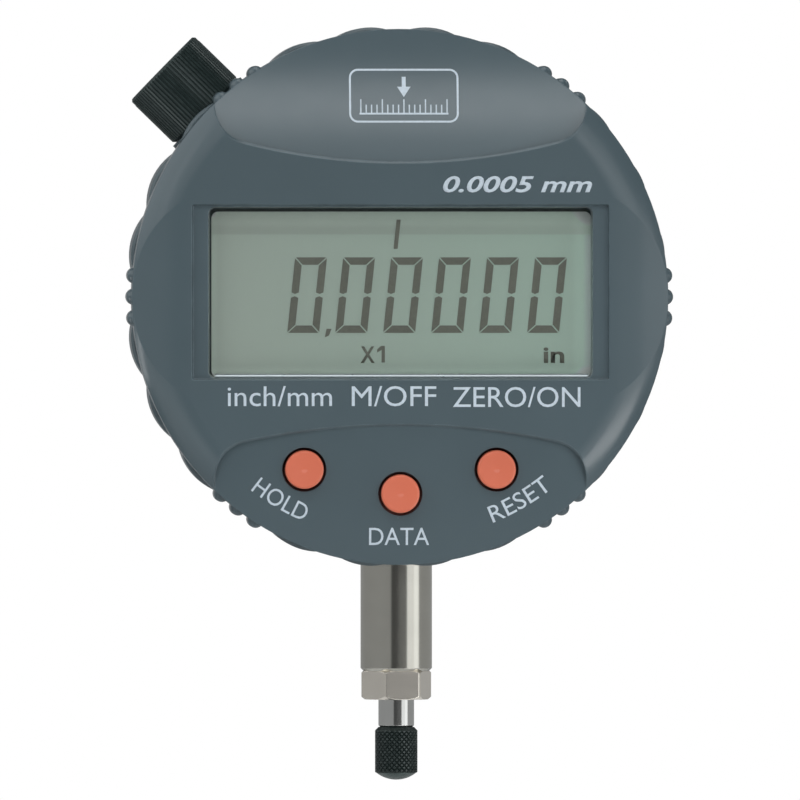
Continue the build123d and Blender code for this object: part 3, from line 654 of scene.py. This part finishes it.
def finely_cut(bm, length):
    """Cut a flat mesh until its edges are that short, so that it can bend, and leave no slivers."""
    for _ in range(4):
        long_edges = [edge for edge in bm.edges if edge.calc_length() > length]
        if not long_edges:
            return
        bmesh.ops.subdivide_edges(bm, edges=long_edges, cuts=1)
        bmesh.ops.triangulate(bm, faces=bm.faces[:])
        bmesh.ops.dissolve_degenerate(bm, edges=bm.edges[:], dist=SLIVER)


def print_on_bezel(name, bm, place):
    """Lay a flat drawing onto the bezel's front as a thin closed skin; place gives a point's x and z."""
    finely_cut(bm, PRINT_FACET)
    back = thickened(bm)
    for v in bm.verts:
        x, z = place(v.co.x, v.co.y)
        lift = -PRINT_THICKNESS if v in back else PRINT_THICKNESS
        v.co = Vector((x, face_depth(x, z) - lift, z))
    turn_outward(bm)
    sheet_on_head(name, bm, "label")


def straight_print(name, bm, x, z):
    print_on_bezel(name, bm, lambda u, v: (DIAL.x + x * MM + u, DIAL.z + z * MM + v))


def arc_print(name, bm, angle, radius):
    """Lettering that bends along the lower rim and reads from left to right."""
    def place(u, v):
        turn = radians(angle) + u / (radius * MM)
        reach = radius * MM - v
        return DIAL.x + reach * cos(turn), DIAL.z + reach * sin(turn)

    print_on_bezel(name, bm, place)


BADGE_PLACE = (0.4, 22.4)
BADGE_HALF_SIZE = (6.1, 3.0)
BADGE_CORNER = 1.0
BADGE_LINE = 0.22
SCALE_FOOT = -1.9
SCALE_STEP = 0.6
SCALE_MARK = 0.14


def measuring_pictogram():
    """A ruled scale with a pointer, in a rounded frame."""
    half_width, half_height = BADGE_HALF_SIZE
    outer = rounded_loop(-half_width, half_width, -half_height, half_height, BADGE_CORNER)
    half_width, half_height = half_width - BADGE_LINE, half_height - BADGE_LINE
    inner = rounded_loop(-half_width, half_width, -half_height, half_height, BADGE_CORNER - BADGE_LINE)
    outlines = band_between(outer, inner)
    for n in range(-8, 9):
        x = n * SCALE_STEP
        height = 1.5 if n % 4 == 0 else 0.9
        outlines.append(bar(x - SCALE_MARK / 2, SCALE_FOOT, x + SCALE_MARK / 2, SCALE_FOOT + height))
    outlines.append(bar(-4.95, SCALE_FOOT - 0.2, 4.95, SCALE_FOOT))
    outlines.append([(0.0, -0.15), (0.75, 1.0), (-0.75, 1.0)])
    outlines.append(bar(-0.22, 1.0, 0.22, 2.1))
    return polygons(outlines)


def build_print():
    # name, text, width, cap height, x and z from the dial centre
    for name, text, width, height, x, z in (
            ("label_inch_mm", "inch/mm", 11.6, 2.35, -13.45, -10.95),
            ("label_m_off", "M/OFF", 9.4, 2.35, -0.75, -10.95),
            ("label_zero_on", "ZERO/ON", 14.2, 2.35, 12.9, -11.05),
            ("label_data", "DATA", 6.7, 2.05, -0.1, -26.6)):
        straight_print(name, text_faces(text, width, height), x, z)
    arc_print("label_hold", text_faces("HOLD", 6.6, 2.0), 239.5, 26.2)
    arc_print("label_reset", text_faces("RESET", 7.4, 2.0), 300.5, 26.2)
    resolution = text_faces("0.0005 mm", 16.6, 1.8, shear=0.25, bold=0.02)
    straight_print("label_resolution", resolution, 13.0, 12.6)
    straight_print("scale_pictogram", measuring_pictogram(), *BADGE_PLACE)


# ---- marks on the display ----

SLANT = 0.105
DIGITS = 6
DIGIT_PITCH = 5.345
DIGIT_HEIGHT = 8.4
DIGIT_WIDTH = 3.55
STROKE = 0.82
STROKE_GAP = 0.10
FIRST_DIGIT = -10.36
DIGIT_BASE = -4.0
POINT_PLACE = (-7.8, -3.55)
POINTER_PLACE = (-1.05, 5.35)
SMALL_BASE = -7.3
SMALL_HEIGHT = 1.85
MARK_BACK = 0.02 * MM
MARK_FRONT = 0.06 * MM


def zero_digit():
    """Six mitred strokes of a seven-segment 0, with its lower left corner at the origin."""
    width, stroke, gap = DIGIT_WIDTH, STROKE, STROKE_GAP
    half = DIGIT_HEIGHT / 2
    foot = [(gap, 0), (width - gap, 0), (width - stroke - gap, stroke), (stroke + gap, stroke)]
    lower_left = [(0, gap), (stroke, stroke + gap), (stroke, half - 0.30), (stroke / 2, half - 0.12),
                  (0, half - 0.30)]
    lower_right = [(width - x, y) for x, y in reversed(lower_left)]
    lower = [foot, lower_left, lower_right]
    upper = [[(x, DIGIT_HEIGHT - y) for x, y in reversed(outline)] for outline in lower]
    return lower + upper


def slanted(outline, x, y):
    return [(u + SLANT * v, v) for u, v in shifted(outline, x, y)]


def mark_on_display(name, bm):
    """Lay a flat drawing about the dial centre in the gap between the display and its window."""
    back = thickened(bm)
    for v in bm.verts:
        lift = MARK_BACK if v in back else MARK_FRONT
        v.co = Vector((DIAL.x + v.co.x, LCD_FRONT - lift, DIAL.z + v.co.y))
    turn_outward(bm)
    sheet_on_head(name, bm, "segment")


def build_display_marks():
    left_edges = [FIRST_DIGIT + n * DIGIT_PITCH - DIGIT_WIDTH / 2 for n in range(DIGITS)]
    digits = [slanted(outline, left, DIGIT_BASE) for left in left_edges for outline in zero_digit()]
    mark_on_display("display_digits", polygons(digits))
    point = slanted([(0, 0), (0.55, 0), (0.35, -0.75), (-0.1, -0.95)], *POINT_PLACE)
    pointer = slanted(bar(-0.23, 0, 0.23, 3.25), *POINTER_PLACE)
    mark_on_display("display_marks", polygons([point, pointer]))
    upright = bar(-2.05, 0, -1.68, SMALL_HEIGHT)
    flag = [(-2.55, 1.1), (-2.05, 1.4), (-2.05, 1.85), (-2.12, 1.85), (-2.55, 1.45)]
    one = [shifted(outline, 0, SMALL_BASE) for outline in (upright, flag)]
    mark_on_display("display_multiplier_one", polygons(one))
    for name, text, x, width in (("display_multiplier_x", "X", -3.6, 1.55),
                                 ("display_unit", "in", 17.15, 2.3)):
        bm = text_faces(text, width, SMALL_HEIGHT, bold=0.022)
        bmesh.ops.translate(bm, verts=bm.verts[:], vec=(x * MM, (SMALL_BASE + SMALL_HEIGHT / 2) * MM, 0))
        mark_on_display(name, bm)


# ---- window edging ----

# The border is painted shade, wider along the top and left where the opening's walls shade the display.
# left, right, bottom, top from the dial centre, in mm
BORDER_OUTER = (-21.9, 21.9, -9.35, 10.35)
BORDER_INNER = (-21.0, 21.3, -8.95, 9.5)
BORDER_OUTER_CORNER = 0.1
BORDER_INNER_CORNER = 0.75
BORDER_GAP = 0.01 * MM
BORDER_THICKNESS = 0.03 * MM
PANE_EDGE = (-20.6, 20.9, -8.87, -8.56)
PANE_EDGE_GAP = 0.01 * MM
PANE_EDGE_DEPTH = 0.095 * MM


def window_border():
    """Dark border on the back of the window, wider along the top and left: painted shade of the opening's
    walls on the display.
    """
    outer = rounded_loop(*BORDER_OUTER, BORDER_OUTER_CORNER)
    inner = rounded_loop(*BORDER_INNER, BORDER_INNER_CORNER)
    bm = polygons(band_between(outer, inner))
    back = thickened(bm)
    for v in bm.verts:
        drop = BORDER_GAP + (BORDER_THICKNESS if v in back else 0)
        v.co = Vector((DIAL.x + v.co.x, WINDOW_BACK + drop, DIAL.z + v.co.y))
    turn_outward(bm)
    sheet_on_head("window_border", bm, "border")


def window_pane_edge():
    """Polished bevel along the lower edge of the window, which catches the light from above."""
    left, right, bottom, top = (value * MM for value in PANE_EDGE)
    back = WINDOW_FRONT - PANE_EDGE_GAP
    front = back - PANE_EDGE_DEPTH
    points = []
    for x in (left, right):
        points += [(DIAL.x + x, back, DIAL.z + top), (DIAL.x + x, back, DIAL.z + bottom),
                   (DIAL.x + x, front, DIAL.z + bottom)]
    faces = [(0, 1, 2), (5, 4, 3), (0, 2, 5, 3), (1, 4, 5, 2), (0, 3, 4, 1)]
    piece_from_points("window_pane_edge", points, faces, "pane_edge", "head")


# ---- stage, light and camera ----

FLOOR_RADIUS = 1.2
FLOOR_FADE = (0.08, 0.34)
ROOM_LIGHT = 0.08
STUDIO_PANELS = (
    # azimuth, elevation, half width, half height, softness across and up, all in degrees; strength
    (0, 22, 45, 8, 10, 5, 0.68),
    (0, 33, 15, 3, 10, 6, 3.9),
    (0, 84, 180, 10, 14, 10, 2.0),
    (-80, 34, 30, 16, 20, 14, 1.3),
    (-100, -3, 80, 14, 4, 6, 0.27),
    (55, -2, 20, 4, 3, 3, 0.98),
    (-50, -26, 25, 8, 10, 8, 0.8),
    (42, 10, 34, 4, 6, 3, 1.2),
    (42, -11, 34, 4, 6, 3, 1.1),
    (120, -3, 60, 14, 4, 6, 0.29),
    (122, 40, 4, 6, 3, 4, 3.0),
)
KEY_ELEVATION = 50
KEY_TURN = -3
KEY_STRENGTH = 0.5
CAMERA_AZIMUTH = -1.6
CAMERA_ELEVATION = 0.5
CAMERA_DISTANCE = 3.0
CAMERA_TARGET = Vector((0.42 * MM, 0, DIAL.z - 11.61 * MM))
VIEW_WIDTH = 89.52 * MM


def direction(azimuth, elevation):
    """Unit vector towards a place given in degrees; azimuth 0 is -Y, in front of the face."""
    a, e = radians(azimuth), radians(elevation)
    return Vector((sin(a) * cos(e), -cos(a) * cos(e), sin(e)))


def build_floor():
    """Pale round floor below the contact, fading out into the backdrop."""
    shade = Shader("floor_pale")
    mottle = shade.noise(shade.place(), 30.0, 3.0)
    tone = shade.mix(mottle, (0.70, 0.70, 0.70, 1.0), (0.74, 0.74, 0.74, 1.0))
    solid = shade.node("BsdfPrincipled")
    shade.feed(solid.inputs["Base Color"], tone)
    solid.inputs["Roughness"].default_value = 0.7
    clear = shade.node("BsdfTransparent")
    fade = shade.ramp(shade.vector("LENGTH", shade.place()), *FLOOR_FADE)
    material = shade.finish(shade.mix_shaders(fade, solid.outputs[0], clear.outputs[0]))
    bm = bmesh.new()
    bmesh.ops.create_circle(bm, cap_ends=True, segments=96, radius=FLOOR_RADIUS)
    mesh = bpy.data.meshes.new("floor")
    bm.to_mesh(mesh)
    bm.free()
    mesh.materials.append(material)
    floor = bpy.data.objects.new("floor", mesh)
    bpy.context.scene.collection.objects.link(floor)
    floor.location = (0, 0, CAD_BOX[0][2] - FLOOR_DROP)


def build_world():
    """Studio surround: a dim room with soft panels, and a white backdrop for the camera alone."""
    world = bpy.data.worlds.new("studio")
    bpy.context.scene.world = world
    s = Shader("studio", world)
    x, y, z = s.split(s.node("TexCoord").outputs["Generated"])
    azimuth = s.math("ARCTAN2", x, s.math("MULTIPLY", y, -1.0))
    elevation = s.math("ARCSINE", z)

    def share(offset, half, soft):
        """1 within the half size, falling to 0 over the softness."""
        return s.ramp(s.math("ABSOLUTE", offset), radians(half + soft), radians(half))

    total = ROOM_LIGHT
    for az, el, half_az, half_el, soft_az, soft_el, strength in STUDIO_PANELS:
        turn = s.math("WRAP", s.math("SUBTRACT", azimuth, radians(az)), pi, -pi)
        rise = s.math("SUBTRACT", elevation, radians(el))
        lit = s.math("MULTIPLY", share(turn, half_az, soft_az), share(rise, half_el, soft_el))
        total = s.math("ADD", total, s.math("MULTIPLY", lit, strength))
    light = s.node("Background")
    light.inputs["Color"].default_value = (0.97, 0.99, 1.0, 1.0)
    s.feed(light.inputs["Strength"], total)
    backdrop = s.node("Background")
    backdrop.inputs["Color"].default_value = (1.0, 1.0, 1.0, 1.0)
    seen = s.node("LightPath").outputs["Is Camera Ray"]
    both = s.mix_shaders(seen, light.outputs[0], backdrop.outputs[0])
    s.tree.links.new(both, s.node("OutputWorld").inputs["Surface"])


def add_light(name, kind):
    data = bpy.data.lights.new(name, kind)
    lamp = bpy.data.objects.new(name, data)
    bpy.context.scene.collection.objects.link(lamp)
    return lamp


def soft_card(name, place, distance, width, height, strength, aim):
    """Lit card beside the object, unseen by the camera; place is its azimuth and elevation from aim."""
    lamp = add_light(name, "AREA")
    lamp.data.shape = "RECTANGLE"
    lamp.data.size = width
    lamp.data.size_y = height
    lamp.data.energy = strength * width * height * pi
    away = direction(*place)
    lamp.location = aim + away * distance
    lamp.rotation_euler = away.to_track_quat("Z", "Y").to_euler()
    lamp.visible_camera = False


def build_lights():
    """Hard key from above, which shades the top of the recessed display, and two low cards."""
    key = add_light("key", "SUN")
    key.data.energy = KEY_STRENGTH
    key.data.angle = radians(1.5)
    key.rotation_euler = (radians(90 - KEY_ELEVATION), 0, radians(KEY_TURN))
    key.visible_glossy = False
    soft_card("low_right", (46, -26), 0.24, 0.15, 0.06, 4.4, DIAL)
    soft_card("low_left", (-61, -41), 0.05, 0.006, 0.016, 4.0, CAP)


def build_camera():
    away = direction(CAMERA_AZIMUTH, CAMERA_ELEVATION)
    data = bpy.data.cameras.new("camera")
    data.sensor_width = 36
    data.lens = data.sensor_width * CAMERA_DISTANCE / VIEW_WIDTH
    camera = bpy.data.objects.new("camera", data)
    bpy.context.scene.collection.objects.link(camera)
    camera.location = CAMERA_TARGET + away * CAMERA_DISTANCE
    camera.rotation_euler = away.to_track_quat("Z", "Y").to_euler()
    bpy.context.scene.camera = camera


finish_nodes()
knurled_contact()
return_spring()
window_border()
window_pane_edge()
build_print()
build_display_marks()
build_floor()
build_world()
build_lights()
build_camera()
bpy.context.scene.view_settings.view_transform = "Standard"
